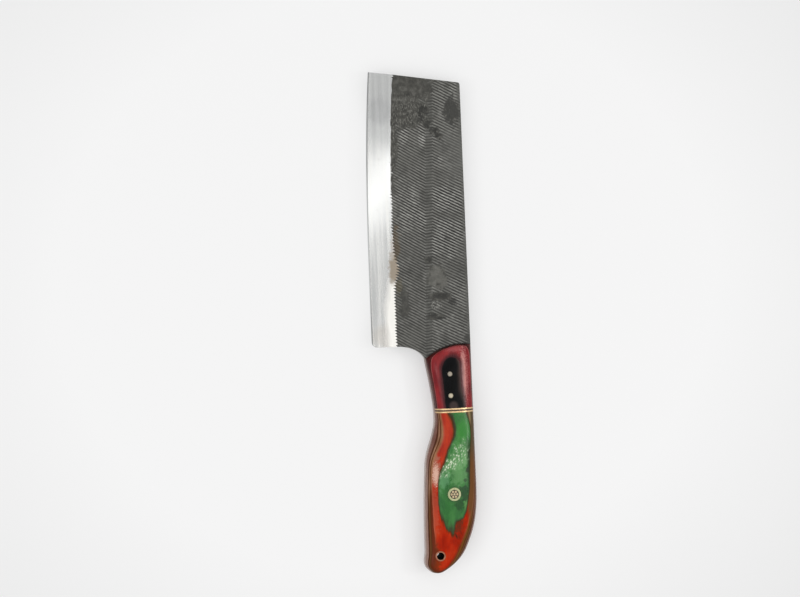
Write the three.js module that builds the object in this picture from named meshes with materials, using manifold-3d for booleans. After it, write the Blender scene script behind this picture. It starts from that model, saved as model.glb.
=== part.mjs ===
// Vegetable cleaver forged from an old file, with a full tang and laminated wood scales.
// X runs from the cutting edge to the spine, Y from the butt to the tip, Z across the blade.
// The knife lies on its right side, so its left face looks up. All sizes are millimetres.
// While it is modelled, the spine lies on X = 0, the handle begins at Y = 0 and Z = 0 is its middle.

import * as THREE from 'three';
import { mergeGeometries, mergeVertices } from 'three/addons/utils/BufferGeometryUtils.js';
import Module from 'manifold-3d';

const wasm = await Module();
wasm.setup();

// Blade
const bladeLength = 166.9;
const bladeWidth = 60.4;
const stockThickness = 4.2;
const bellyStart = 60;
const bellyEnd = 118;
const tipSweep = 4.5;
const tipRake = 7.6;
const spineCornerRadius = 1.5;
const heelRadius = 4;
const bevelWidth = 15.5;
const microBevelWidth = 0.8;
const microBevelThickness = 0.7;
const edgeThickness = 0.12;

// Choil, the hollow where the heel runs into the handle
const heelLength = 16.4;
const choilCurl = 3.8;
const choilDrop = 0.8;

// File teeth, two columns of slanting cuts on each face
const toothPitch = 1.79;
const toothDepth = 0.2;
const toothLand = 0.25;
const toothLean = 0.25;
const edgeColumnAngle = 30;
const spineColumnAngle = 27;
const bandWidth = 4.2;
const bandAtHeel = 25.6;
const bandAtTip = 18.9;
const spineStripWidth = 2.5;
const toothMargin = 1.2;
const toothRunOut = 3;

// Handle outline, as distances from the spine line and behind the handle's front
const handleLength = 138;
const frontWidth = 28.7;
const frontRake = 8.5;
const frontSlope = 0.16;
const frontBow = 2.4;
const neckWidth = 24.1;
const neckPlace = 44;
const palmWidth = 30.9;
const palmPlace = 72;
const palmSlope = 0.08;
const hookWidth = 33;
const hookFromButt = 12.1;
const backPlace = 80;
const shoulderDrop = 5.7;
const shoulderFromButt = 17.5;
const shoulderSlope = 0.45;
const buttBackDrop = 21.2;
const buttBackSlope = 1.9;
const buttHookWidth = 30.9;
const buttHookSlope = 1.2;
const buttBow = 1.9;
const bowReach = 28;

// Scales, with heights above the tang's face
const tangReveal = 0.6;
const tangShoulder = 6;
const seatGap = 0.3;
const sideWall = 1.2;
const frontWall = 3.5;
const frontRound = 12;
const neckCrown = 8;
const palmCrown = 9;
const buttCrown = 6.8;
const endWall = 2;
const endRound = 5;
const crownFallPlace = 70;
const palmRidge = 15.5;
const neckRidge = 9;
const gripPlace = 53;
const gripSpan = 13;
const fingerRoundness = 2.15;
const gripRoundness = 1.64;
const backRoundness = 2.44;
const buttBackRoundness = 1.8;
const buttRoundnessFromButt = 14;

// Veneers, counted down from the crown, and the spacers between the blocks
const blackThickness = 0.45;
const redThickness = 3.2;
const greenThickness = 1.5;
const orangeThickness = 1.8;
const goldThickness = 1;
const brownThickness = 1;
const spacerPlace = 38.4;
const brassSpacerThickness = 0.8;
const fibreSpacerThickness = 1;

// Pins and tubes
const glueLine = 0.1;
const frontPinDiameter = 3;
const firstPinPlace = 17.6;
const secondPinPlace = 30.7;
const pinLine = 15;
const mosaicDiameter = 8;
const mosaicWall = 1.2;
const mosaicPlace = 90.1;
const mosaicLine = 15.4;
const mosaicGap = 0.4;
const mosaicRods = 6;
const lanyardDiameter = 6;
const lanyardWall = 0.75;
const lanyardFromHook = 7.9;
const lanyardFromButt = 11;

// Facets
const edgeSteps = 12;
const acrossSteps = 10;
const alongSteps = 20;
const pinSides = 18;
const rodSides = 8;

// Sizes that follow from those above
const tangThickness = stockThickness - 2 * toothDepth;
const tangFace = tangThickness / 2;
const bladeFace = stockThickness / 2;
const backTop = bladeLength - tipRake;
const scaleTop = tangFace + Math.max(palmCrown, neckCrown);
const buttPlace = handleLength - buttBow;
const frontPinPlaces = [firstPinPlace, secondPinPlace];
const mosaicBore = mosaicDiameter - 2 * mosaicWall;
const mosaicRodDiameter = (mosaicBore - 4 * mosaicGap) / 3;
const lanyardLine = hookWidth - lanyardFromHook;
const lanyardPlace = handleLength - lanyardFromButt;

// How far a cut passes the surface that it cuts
const beyond = 2;

const steel = { color: 0x5c5c58, roughness: 0.5, metalness: 0.9 };
const brass = { color: 0xc9ab6a, roughness: 0.3, metalness: 1 };
const copper = { color: 0xb87350, roughness: 0.35, metalness: 1 };
const resin = { color: 0x4a3319, roughness: 0.4, metalness: 0 };
const fibre = { color: 0x3a1f1c, roughness: 0.6, metalness: 0 };

function dyedWood(color) {
  return { color, roughness: 0.4, metalness: 0 };
}

const group = new THREE.Group();

function addPart(name, solid, finish) {
  const mesh = solid.getMesh();
  const geometry = new THREE.BufferGeometry();
  geometry.setAttribute('position', new THREE.BufferAttribute(mesh.vertProperties, 3));
  geometry.setIndex(new THREE.BufferAttribute(mesh.triVerts, 1));
  geometry.computeVertexNormals();
  const part = new THREE.Mesh(geometry, new THREE.MeshStandardMaterial(finish));
  part.name = name;
  group.add(part);
}

function solidOf(geometry) {
  geometry.deleteAttribute('normal');
  geometry.deleteAttribute('uv');
  const merged = mergeVertices(geometry);
  return new wasm.Manifold(new wasm.Mesh({
    numProp: 3,
    vertProperties: merged.attributes.position.array,
    triVerts: new Uint32Array(merged.index.array),
  }));
}

function facesToGeometry(points, faces) {
  const geometry = new THREE.BufferGeometry().setFromPoints(points);
  geometry.setIndex(faces);
  return geometry;
}

// A closed skin through rings of points, each ring turning left about the way that the rings advance.
function loft(rings) {
  const count = rings[0].length;
  const last = (rings.length - 1) * count;
  const faces = [];
  for (let start = 0; start < last; start += count) {
    for (let i = 0; i < count; i++) {
      const a = start + i;
      const b = start + (i + 1) % count;
      faces.push(a, b, b + count, a, b + count, a + count);
    }
  }
  for (let i = 1; i + 1 < count; i++) {
    faces.push(0, i + 1, i);
    faces.push(last, last + i, last + i + 1);
  }
  return facesToGeometry(rings.flat(), faces);
}

// The same skin on the other side of the blade's middle plane.
function mirrored(geometry) {
  const other = geometry.clone().scale(1, 1, -1);
  const index = other.index.array;
  for (let i = 0; i < index.length; i += 3) {
    [index[i], index[i + 1]] = [index[i + 1], index[i]];
  }
  return other;
}

function plate(shape, thickness) {
  const settings = { depth: thickness, bevelEnabled: false, curveSegments: edgeSteps };
  return solidOf(new THREE.ExtrudeGeometry(shape, settings).translate(0, 0, -thickness / 2));
}

function rod(diameter, x, y, sides = pinSides) {
  const length = 2 * (scaleTop + beyond);
  const geometry = new THREE.CylinderGeometry(diameter / 2, diameter / 2, length, sides);
  return solidOf(geometry.rotateX(Math.PI / 2).translate(x, y, 0));
}

function slab(yLow, yHigh, zLow, zHigh) {
  const width = 2 * (hookWidth + bladeWidth);
  const geometry = new THREE.BoxGeometry(width, yHigh - yLow, zHigh - zLow);
  return solidOf(geometry.translate(0, (yLow + yHigh) / 2, (zLow + zHigh) / 2));
}

// Handle outline: each side is a fair curve through stations of distance behind the front,
// distance from the spine line, and slope
const fingerSide = [
  { behind: frontRake, out: frontWidth, slope: -frontSlope },
  { behind: neckPlace, out: neckWidth, slope: 0 },
  { behind: palmPlace, out: palmWidth, slope: palmSlope },
  { behind: buttPlace - hookFromButt, out: hookWidth, slope: 0 },
  { behind: buttPlace, out: buttHookWidth, slope: -buttHookSlope },
];

const backSide = [
  { behind: 0, out: 0, slope: 0 },
  { behind: backPlace, out: 0, slope: 0 },
  { behind: buttPlace - shoulderFromButt, out: shoulderDrop, slope: shoulderSlope },
  { behind: buttPlace, out: buttBackDrop, slope: buttBackSlope },
];

function sideCurve(from, to) {
  const third = (to.behind - from.behind) / 3;
  return new THREE.CubicBezierCurve(
    new THREE.Vector2(-from.out, -from.behind),
    new THREE.Vector2(-from.out - third * from.slope, -from.behind - third),
    new THREE.Vector2(-to.out + third * to.slope, -to.behind + third),
    new THREE.Vector2(-to.out, -to.behind),
  );
}

function sideCurves(stations) {
  return stations.slice(1).map((to, i) => sideCurve(stations[i], to));
}

function sideAt(stations, behind) {
  const found = stations.findIndex((station) => behind < station.behind);
  const next = found < 0 ? stations.length - 1 : Math.max(1, found);
  const from = stations[next - 1];
  const to = stations[next];
  const share = (behind - from.behind) / (to.behind - from.behind);
  return sideCurve(from, to).getPoint(THREE.MathUtils.clamp(share, 0, 1)).x;
}

// Blade outline
const edge = new THREE.CubicBezierCurve(
  new THREE.Vector2(-bladeWidth, heelRadius),
  new THREE.Vector2(-bladeWidth, bellyStart),
  new THREE.Vector2(-bladeWidth, bellyEnd),
  new THREE.Vector2(-bladeWidth + tipSweep, bladeLength),
);

function bladeShape() {
  const spineSide = new THREE.Vector2(0, backTop);
  const alongTip = new THREE.Vector2().subVectors(edge.v3, spineSide).setLength(spineCornerRadius);
  const tipStart = spineSide.clone().add(alongTip);
  const heelEnd = -bladeWidth + heelRadius;
  const shape = new THREE.Shape();
  shape.moveTo(0, 0);
  shape.lineTo(0, backTop - spineCornerRadius);
  shape.quadraticCurveTo(spineSide.x, spineSide.y, tipStart.x, tipStart.y);
  shape.lineTo(edge.v3.x, edge.v3.y);
  shape.bezierCurveTo(edge.v2.x, edge.v2.y, edge.v1.x, edge.v1.y, edge.v0.x, edge.v0.y);
  shape.quadraticCurveTo(-bladeWidth, 0, heelEnd, 0);
  shape.lineTo(-bladeWidth + heelLength, 0);
  shape.quadraticCurveTo(-frontWidth - choilCurl, -choilDrop, -frontWidth, -frontRake);
  shape.quadraticCurveTo(-frontWidth / 2, -frontRake / 2 + 2 * frontBow, 0, 0);
  return shape;
}

// Tang outline, reaching a little way into the blade so that the two are one piece
function tangShape() {
  const shape = new THREE.Shape();
  shape.moveTo(0, tangShoulder);
  shape.lineTo(0, 0);
  for (const { v1, v2, v3 } of sideCurves(backSide)) {
    shape.bezierCurveTo(v1.x, v1.y, v2.x, v2.y, v3.x, v3.y);
  }
  const buttMiddle = -(buttBackDrop + buttHookWidth) / 2;
  shape.quadraticCurveTo(buttMiddle, -buttPlace - 2 * buttBow, -buttHookWidth, -buttPlace);
  for (const { v0, v1, v2 } of sideCurves(fingerSide).reverse()) {
    shape.bezierCurveTo(v2.x, v2.y, v1.x, v1.y, v0.x, v0.y);
  }
  shape.lineTo(-frontWidth + tangShoulder, tangShoulder);
  return shape;
}

// Bevel: the ground-off wedge along the edge, on the left face
function bevelCut() {
  const microRise = (microBevelThickness - edgeThickness) / 2;
  const slope = (bladeFace - microBevelThickness / 2) / (bevelWidth - microBevelWidth);
  const points = edge.getPoints(edgeSteps);
  points.unshift(new THREE.Vector2(edge.v0.x, -beyond));
  points.push(new THREE.Vector2(edge.v3.x + beyond * (tipSweep / tipRake), bladeLength + beyond));
  const rings = points.reverse().map(({ x, y }) => [
    [-beyond, bladeFace + beyond],
    [-beyond, edgeThickness / 2],
    [0, edgeThickness / 2],
    [microBevelWidth, edgeThickness / 2 + microRise],
    [bevelWidth + beyond, bladeFace + beyond * slope],
    [bevelWidth + beyond, bladeFace + beyond],
  ].map(([inward, z]) => new THREE.Vector3(x + inward, y, z)));
  return loft(rings);
}

// File teeth: each cut is a leaning groove with a flat land left beside it
function toothCut(start, end, width) {
  const along = new THREE.Vector2().subVectors(end, start).normalize();
  const across = new THREE.Vector2(-along.y, along.x);
  const rim = toothDepth / 10;
  const section = [
    [-width / 2, toothDepth],
    [-width / 2, rim],
    [-width * toothLean, -toothDepth],
    [width / 2, rim],
    [width / 2, toothDepth],
  ];
  return loft([start, end].map((point) => section.map(([side, height]) => new THREE.Vector3(
    point.x + across.x * side,
    point.y + across.y * side,
    bladeFace + height,
  ))));
}

function bandCentre(y) {
  return -THREE.MathUtils.mapLinear(y, 0, backTop, bandAtHeel, bandAtTip);
}

function bevelLine(y) {
  const share = THREE.MathUtils.clamp((y - heelRadius) / (bladeLength - heelRadius), 0, 1);
  return edge.getPoint(share).x + bevelWidth;
}

// One column of cuts: each is a line through a place on the smooth band, falling towards the spine
function toothColumn(angle, reach) {
  const fall = Math.tan(THREE.MathUtils.degToRad(angle));
  const width = toothPitch * Math.cos(Math.atan(fall)) - toothLand;
  const rise = fall * bladeWidth;
  const cuts = [];
  for (let y = toothMargin - rise; y < bladeLength + rise; y += toothPitch) {
    const [left, right] = reach(y, fall);
    const lowest = bandCentre(y) + (y - toothMargin) / fall;
    const stop = Math.min(right, lowest);
    const place = (x) => new THREE.Vector2(x, y - (x - bandCentre(y)) * fall);
    if (stop - left > toothPitch && place(stop).y < bladeLength) {
      cuts.push(toothCut(place(left), place(stop), width));
    }
  }
  return cuts;
}

function fileTeeth() {
  const edgeColumn = toothColumn(edgeColumnAngle, (y, fall) => {
    const border = bandCentre(y) - bandWidth / 2;
    const line = bevelLine(y + (bladeWidth - bevelWidth + border) * fall);
    return [line - toothRunOut, border];
  });
  const spineColumn = toothColumn(spineColumnAngle, (y) => (
    [bandCentre(y) + bandWidth / 2, -spineStripWidth]
  ));
  return mergeGeometries([...edgeColumn, ...spineColumn]);
}

// Handle: the height of the scales above the tang's face, as they were sanded in one sweep
function rounded(distance, length, wall, height) {
  const share = Math.max(0, 1 - distance / length);
  return wall + (height - wall) * Math.sqrt(1 - share * share);
}

function grip(behind) {
  return Math.exp(-(((behind - gripPlace) / gripSpan) ** 2));
}

function crownAt(behind) {
  const toPalm = THREE.MathUtils.smoothstep(behind, neckPlace, palmPlace);
  const fall = THREE.MathUtils.smoothstep(behind, crownFallPlace, handleLength);
  const level = THREE.MathUtils.lerp(neckCrown, palmCrown, toPalm);
  const full = THREE.MathUtils.lerp(level, buttCrown, fall);
  return rounded(behind, frontRound, frontWall, rounded(buttPlace - behind, endRound, endWall, full));
}

// One station of the handle, from the finger side to the back, as points with their heights
function stationAt(share) {
  const fingerBehind = THREE.MathUtils.lerp(frontRake + seatGap, buttPlace - tangReveal, share);
  const backBehind = THREE.MathUtils.lerp(seatGap, buttPlace - tangReveal, share);
  const behind = share * (buttPlace - tangReveal);
  const finger = sideAt(fingerSide, fingerBehind) + tangReveal;
  const back = sideAt(backSide, backBehind) - tangReveal;
  const bow = frontBow * Math.max(0, 1 - behind / bowReach) ** 2;
  const buttDistance = buttPlace - tangReveal - behind;
  const bulge = buttBow * Math.max(0, 1 - buttDistance / bowReach) ** 2;
  const middle = (finger + back) / 2;
  const ridgeLine = -THREE.MathUtils.lerp(palmRidge, neckRidge, grip(behind));
  const drift = THREE.MathUtils.smoothstep(behind, crownFallPlace, buttPlace);
  const ridge = THREE.MathUtils.lerp(ridgeLine, middle, drift);
  const fingerPower = THREE.MathUtils.lerp(fingerRoundness, gripRoundness, grip(behind));
  const toButt = THREE.MathUtils.smoothstep(behind, crownFallPlace, buttPlace - buttRoundnessFromButt);
  const backPower = THREE.MathUtils.lerp(backRoundness, buttBackRoundness, toButt);
  const crown = crownAt(behind);
  const points = [];
  for (let i = 0; i <= acrossSteps; i++) {
    const part = (1 - Math.cos(Math.PI * i / acrossSteps)) / 2;
    const x = THREE.MathUtils.lerp(finger, back, part);
    const y = -THREE.MathUtils.lerp(fingerBehind, backBehind, part) + (bow - bulge) * 4 * part * (1 - part);
    const onFinger = x < ridge;
    const power = onFinger ? fingerPower : backPower;
    const away = Math.min(1, (x - ridge) / ((onFinger ? finger : back) - ridge));
    const height = sideWall + (crown - sideWall) * (1 - away ** power) ** (1 / power);
    points.push(new THREE.Vector3(x, y, tangFace + height));
  }
  return points;
}

// The whole shaped handle, both sides, before it is parted into blocks, veneers and spacers
function handleBody() {
  const rings = [];
  for (let i = 0; i <= alongSteps; i++) {
    const share = (1 - Math.cos(Math.PI * i / alongSteps)) / 2;
    rings.push(stationAt(share));
  }
  const row = acrossSteps + 1;
  const half = rings.length * row;
  const tops = rings.flat();
  const bottoms = tops.map(({ x, y, z }) => new THREE.Vector3(x, y, -z));
  const faces = [];
  const quad = (a, b, c, d) => faces.push(a, b, c, a, c, d);
  for (let r = 0; r < alongSteps; r++) {
    for (let i = 0; i < acrossSteps; i++) {
      const a = r * row + i;
      quad(a, a + row, a + row + 1, a + 1);
      quad(half + a, half + a + 1, half + a + row + 1, half + a + row);
    }
    const finger = r * row;
    const back = finger + acrossSteps;
    quad(finger, half + finger, half + finger + row, finger + row);
    quad(back, back + row, half + back + row, half + back);
  }
  for (let i = 0; i < acrossSteps; i++) {
    const end = alongSteps * row + i;
    quad(i, i + 1, half + i + 1, half + i);
    quad(end, half + end, half + end + 1, end + 1);
  }
  return solidOf(facesToGeometry([...tops, ...bottoms], faces));
}

// Holes and pins
const handle = handleBody();

function pinHoles() {
  let holes = rod(mosaicDiameter + 2 * glueLine, -mosaicLine, -mosaicPlace);
  holes = holes.add(rod(lanyardDiameter + 2 * glueLine, -lanyardLine, -lanyardPlace));
  for (const place of frontPinPlaces) {
    holes = holes.add(rod(frontPinDiameter + 2 * glueLine, -pinLine, -place));
  }
  return holes;
}

const holes = pinHoles();

function addBlade() {
  const cut = bevelCut();
  const teeth = fileTeeth();
  let blade = plate(bladeShape(), stockThickness).add(plate(tangShape(), tangThickness));
  for (const skin of [teeth, mirrored(teeth), cut, mirrored(cut)]) {
    blade = blade.subtract(solidOf(skin));
  }
  addPart('blade_with_tang', blade.subtract(holes), steel);
}

// What the handle has between two places along it and two heights on one side
function sliceOf(side, yLow, yHigh, low, high) {
  const cut = side.sign > 0 ? slab(yLow, yHigh, low, high) : slab(yLow, yHigh, -high, -low);
  return handle.intersect(cut).subtract(holes);
}

// One stack of veneers on one side, from the tang's face up; the top sheet takes all that is left
function addVeneers(side, block, yLow, yHigh, sheets) {
  let low = tangFace;
  for (const { name, top, color } of sheets) {
    const sheet = sliceOf(side, yLow, yHigh, low, top);
    addPart(`${side.name}_${block}_${name}_veneer`, sheet, dyedWood(color));
    low = top;
  }
}

function addSpacer(side, name, yHigh, thickness, finish) {
  const sheet = sliceOf(side, yHigh - thickness, yHigh, tangFace, scaleTop + beyond);
  addPart(`${side.name}_${name}_spacer`, sheet, finish);
}

function addScale(side) {
  const neckTop = tangFace + neckCrown;
  const palmTop = tangFace + palmCrown;
  const crest = scaleTop + beyond;
  const orangeTop = palmTop - greenThickness;
  const goldTop = orangeTop - orangeThickness;
  const brownTop = goldTop - goldThickness;
  const spacerFront = -spacerPlace;
  const fibreFront = spacerFront - brassSpacerThickness;
  const secondFront = fibreFront - fibreSpacerThickness;
  const spacerEnd = secondFront - brassSpacerThickness;
  addVeneers(side, 'front', spacerFront, frontBow + beyond, [
    { name: 'maroon', top: neckTop - blackThickness - redThickness, color: 0x4a1a20 },
    { name: 'red', top: neckTop - blackThickness, color: 0x8e2630 },
    { name: 'black', top: crest, color: 0x191b20 },
  ]);
  addSpacer(side, 'front_brass', spacerFront, brassSpacerThickness, brass);
  addSpacer(side, 'fibre', fibreFront, fibreSpacerThickness, fibre);
  addSpacer(side, 'rear_brass', secondFront, brassSpacerThickness, brass);
  addVeneers(side, 'rear', -handleLength - beyond, spacerEnd, [
    { name: 'maroon', top: brownTop - brownThickness, color: 0x4f1a22 },
    { name: 'brown', top: brownTop, color: 0x50321a },
    { name: 'gold', top: goldTop, color: 0x967244 },
    { name: 'orange', top: orangeTop, color: 0xb62c15 },
    { name: 'green', top: crest, color: 0x2f7a3e },
  ]);
}

function addMosaicPin() {
  const y = -mosaicPlace;
  const ring = mosaicRodDiameter + mosaicGap;
  const tube = rod(mosaicDiameter, -mosaicLine, y).subtract(rod(mosaicBore, -mosaicLine, y));
  let filling = rod(mosaicBore - 2 * glueLine, -mosaicLine, y);
  const places = [{ name: 'centre_rod', x: -mosaicLine, y, finish: brass }];
  for (let i = 0; i < mosaicRods; i++) {
    const turn = 2 * Math.PI * i / mosaicRods;
    const x = -mosaicLine + ring * Math.cos(turn);
    places.push({ name: `rod_${i + 1}`, x, y: y + ring * Math.sin(turn), finish: copper });
  }
  for (const place of places) {
    filling = filling.subtract(rod(mosaicRodDiameter + 2 * glueLine, place.x, place.y, rodSides));
    const piece = rod(mosaicRodDiameter, place.x, place.y, rodSides);
    addPart(`mosaic_pin_${place.name}`, handle.intersect(piece), place.finish);
  }
  addPart('mosaic_pin_tube', handle.intersect(tube), brass);
  addPart('mosaic_pin_resin', handle.intersect(filling), resin);
}

function addPlainPins() {
  frontPinPlaces.forEach((place, i) => {
    addPart(`front_pin_${i + 1}`, handle.intersect(rod(frontPinDiameter, -pinLine, -place)), brass);
  });
  const bore = rod(lanyardDiameter - 2 * lanyardWall, -lanyardLine, -lanyardPlace);
  const tube = rod(lanyardDiameter, -lanyardLine, -lanyardPlace).subtract(bore);
  addPart('lanyard_tube', handle.intersect(tube), brass);
}

addBlade();
addScale({ name: 'left', sign: 1 });
addScale({ name: 'right', sign: -1 });
addPlainPins();
addMosaicPin();

// The origin is the middle of the underside of the whole knife
const box = new THREE.Box3().setFromObject(group);
const centre = box.getCenter(new THREE.Vector3());
group.position.set(-centre.x, -centre.y, -box.min.z);
group.updateMatrixWorld(true);

export default group;
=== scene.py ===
"""Looks of a vegetable cleaver forged from an old file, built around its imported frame.

Shapes are worked out in millimetres in the knife's own frame: the spine lies on X = 0, the handle
begins at Y = 0, and Z = 0 is the middle of the blade. Each finished piece is then set in the frame.
"""

import math

import bpy
import numpy as np
from mathutils import Matrix, Vector, noise


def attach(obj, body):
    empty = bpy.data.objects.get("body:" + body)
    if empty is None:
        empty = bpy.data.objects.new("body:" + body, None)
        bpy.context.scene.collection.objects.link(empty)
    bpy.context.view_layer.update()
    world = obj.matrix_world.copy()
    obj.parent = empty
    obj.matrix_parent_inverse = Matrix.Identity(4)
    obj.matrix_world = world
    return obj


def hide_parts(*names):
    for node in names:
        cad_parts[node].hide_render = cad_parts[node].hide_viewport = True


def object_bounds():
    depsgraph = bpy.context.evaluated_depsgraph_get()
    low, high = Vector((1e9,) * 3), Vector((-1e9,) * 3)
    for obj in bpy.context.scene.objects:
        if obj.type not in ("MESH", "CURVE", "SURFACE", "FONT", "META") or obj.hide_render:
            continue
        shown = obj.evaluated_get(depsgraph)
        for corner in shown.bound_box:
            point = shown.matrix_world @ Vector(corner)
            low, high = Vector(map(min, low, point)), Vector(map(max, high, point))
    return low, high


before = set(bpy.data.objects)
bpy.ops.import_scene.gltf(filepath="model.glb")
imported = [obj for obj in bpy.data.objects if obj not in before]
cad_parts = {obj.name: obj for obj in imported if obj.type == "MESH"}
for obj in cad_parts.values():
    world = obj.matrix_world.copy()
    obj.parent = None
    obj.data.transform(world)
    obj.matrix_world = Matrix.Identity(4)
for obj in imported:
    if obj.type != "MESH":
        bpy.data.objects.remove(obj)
cad_low, cad_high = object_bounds()

MM = 0.001

# Blade
BLADE_LENGTH = 166.9
BLADE_WIDTH = 60.4
STOCK_THICKNESS = 4.2
BELLY_START = 60
BELLY_END = 118
TIP_SWEEP = 4.5
TIP_RAKE = 7.6
SPINE_CORNER_RADIUS = 1.5
HEEL_RADIUS = 4
HEEL_LENGTH = 16.4
CHOIL_CURL = 3.8
CHOIL_DROP = 0.8

# Ground bevel, with a dip where the wheel lingered: its depth, its reach along and across the blade
BEVEL_WIDTH = 15.5
MICRO_BEVEL_WIDTH = 0.8
MICRO_BEVEL_THICKNESS = 0.7
EDGE_THICKNESS = 0.12
BEVEL_WANDER = 0.03
DIP_DEPTH = 0.46
DIP_REACH = 9.5
DIP_FROM_EDGE = (11, 21)

# File teeth
TOOTH_PITCH = 1.79
TOOTH_DEPTH = 0.2
TOOTH_LAND = 0.25
TOOTH_LEAN = 0.25
EDGE_COLUMN_FALL = math.tan(math.radians(30))
SPINE_COLUMN_FALL = math.tan(math.radians(27))
BAND_RISE = 0.14
BAND_WIDTH = 4.2
BAND_AT_HEEL = 25.6
BAND_AT_TIP = 18.9
SPINE_STRIP_WIDTH = 2.5
BAND_STRENGTH = 0.3
STRIP_STRENGTH = 0.25
BAND_SUNK = 0.2
STRIP_SUNK = 0.2
CRISP_REACH = (26, 40)

# Handle outline, as distances behind the handle's front, out from the spine line, and slopes
HANDLE_LENGTH = 138
FRONT_WIDTH = 28.7
FRONT_RAKE = 7.6
FRONT_BOW = 3.3
NECK_PLACE = 44
PALM_PLACE = 72
BUTT_BOW = 1.6
BUTT_LEAN = 0.24
BOW_REACH = 28
BUTT_PLACE = HANDLE_LENGTH - BUTT_BOW
BUTT_HOOK_WIDTH = 30.9
BUTT_BACK_DROP = 21.2
FINGER_SIDE = (
    (FRONT_RAKE, FRONT_WIDTH, -0.16),
    (NECK_PLACE, 24.1, 0),
    (PALM_PLACE, 30.9, 0.08),
    (BUTT_PLACE - 12.1, 33, 0),
    (BUTT_PLACE, BUTT_HOOK_WIDTH, -1.2),
)
BACK_SIDE = (
    (0, 0, 0),
    (80, 0, 0),
    (BUTT_PLACE - 17.5, 5.7, 0.45),
    (BUTT_PLACE, BUTT_BACK_DROP, 1.9),
)

# Scales, with heights above the tang's face
TANG_REVEAL = 0.6
TANG_SHOULDER = 6
SEAT_GAP = 0.3
SIDE_WALL = 1.2
FRONT_WALL = 3.5
FRONT_ROUND = 12
FRONT_ROLL = 1.6
NECK_CROWN = 8
PALM_CROWN = 8.9
BUTT_CROWN = 6.8
END_WALL = 2
END_ROUND = 5
CROWN_FALL_PLACE = 70
PALM_RIDGE = 15.5
NECK_RIDGE = 9
GRIP_PLACE = 53
GRIP_SPAN = 13
FINGER_ROUNDNESS = 2.15
GRIP_ROUNDNESS = 1.64
BACK_ROUNDNESS = 2.44
BUTT_BACK_ROUNDNESS = 1.8
BUTT_ROUNDNESS_FROM_BUTT = 14

# Veneers, as the levels where each sheet ends above the tang's face, and the spacers
RED_LEVEL = 4.35
BLACK_LEVEL = 7.55
BROWN_LEVEL = 3.7
GOLD_LEVEL = 4.7
ORANGE_LEVEL = 5.7
GREEN_LEVEL = 7.5
TOP_LEVEL = 12
FRONT_SHEETS = (("maroon", RED_LEVEL), ("red", BLACK_LEVEL), ("black", TOP_LEVEL))
REAR_SHEETS = (
    ("maroon", BROWN_LEVEL), ("brown", GOLD_LEVEL), ("gold", ORANGE_LEVEL),
    ("orange", GREEN_LEVEL), ("green", TOP_LEVEL),
)
SPACERS = (("front_brass", 38.4, 39.2), ("fibre", 39.2, 40.2), ("rear_brass", 40.2, 41.0))

# Pins and tubes
GLUE_LINE = 0.1
PIN_LINE = 15
FRONT_PIN_DIAMETER = 3
FRONT_PIN_PLACES = (17.6, 30.7)
MOSAIC_DIAMETER = 8
MOSAIC_BORE = 5.6
MOSAIC_LINE = 15.4
MOSAIC_PLACE = 90.1
MOSAIC_GAP = 0.4
MOSAIC_RODS = 6
MOSAIC_ROD_DIAMETER = (MOSAIC_BORE - 4 * MOSAIC_GAP) / 3
LANYARD_DIAMETER = 6
LANYARD_BORE = 4.5
LANYARD_LINE = 25.1
LANYARD_PLACE = 127

# Sizes that follow from those above
BLADE_FACE = STOCK_THICKNESS / 2
TANG_FACE = BLADE_FACE - TOOTH_DEPTH
BACK_TOP = BLADE_LENGTH - TIP_RAKE
WHEEL_REACH = BEVEL_WIDTH + 10

# Room that cutting tools take: beyond a surface, across a sheet, and across and out from the handle
BEYOND = 4
SHEET_ACROSS = (-40, 6)
ROOM_ACROSS = (-60, 20)
ROOM_HEIGHT = 30

# From the knife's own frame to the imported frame: the spine, the tip and the middle plane
MIDDLE_Z = (cad_low.z + cad_high.z) / 2
TO_FRAME = Matrix.Translation((cad_high.x, cad_high.y - BLADE_LENGTH * MM, MIDDLE_Z)) @ Matrix.Scale(MM, 4)


# Meshes

def mesh_object(name, points, faces):
    mesh = bpy.data.meshes.new(name)
    mesh.from_pydata([tuple(p) for p in points], [], [tuple(f) for f in faces])
    made = bpy.data.objects.new(name, mesh)
    bpy.context.scene.collection.objects.link(made)
    return made


def solid_between(name, top, bottom):
    """A closed solid between two grids of points, whose rows advance along Y and columns along X."""
    rows, columns = top.shape[:2]
    count = rows * columns
    index = np.arange(count).reshape(rows, columns)
    corners = (index[:-1, :-1], index[:-1, 1:], index[1:, 1:], index[1:, :-1])
    upper = np.stack(corners, -1).reshape(-1, 4)
    lower = upper[:, ::-1] + count
    rim = np.concatenate([index[0, :-1], index[:-1, -1], index[-1, :0:-1], index[:0:-1, 0]])
    ahead = np.roll(rim, -1)
    walls = np.stack([rim + count, ahead + count, ahead, rim], -1)
    points = np.concatenate([top.reshape(-1, 3), bottom.reshape(-1, 3)])
    return mesh_object(name, points.tolist(), np.concatenate([upper, lower, walls]).tolist())


def prism(name, outline, low, high):
    """A closed solid with an outline that turns left, between two heights."""
    count = len(outline)
    points = [(x, y, low) for x, y in outline] + [(x, y, high) for x, y in outline]
    faces = [tuple(range(count - 1, -1, -1)), tuple(range(count, 2 * count))]
    for i in range(count):
        j = (i + 1) % count
        faces.append((i, j, j + count, i + count))
    return mesh_object(name, points, faces)


def rod(diameter, x, y, sides=72):
    turns = np.linspace(0, 2 * math.pi, sides, endpoint=False)
    ring = np.stack([x + diameter / 2 * np.cos(turns), y + diameter / 2 * np.sin(turns)], -1)
    height = TANG_FACE + PALM_CROWN + BEYOND
    return prism("rod", ring.tolist(), -height, height)


def discard(*bodies):
    for body in bodies:
        mesh = body.data
        bpy.data.objects.remove(body)
        bpy.data.meshes.remove(mesh)


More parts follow.
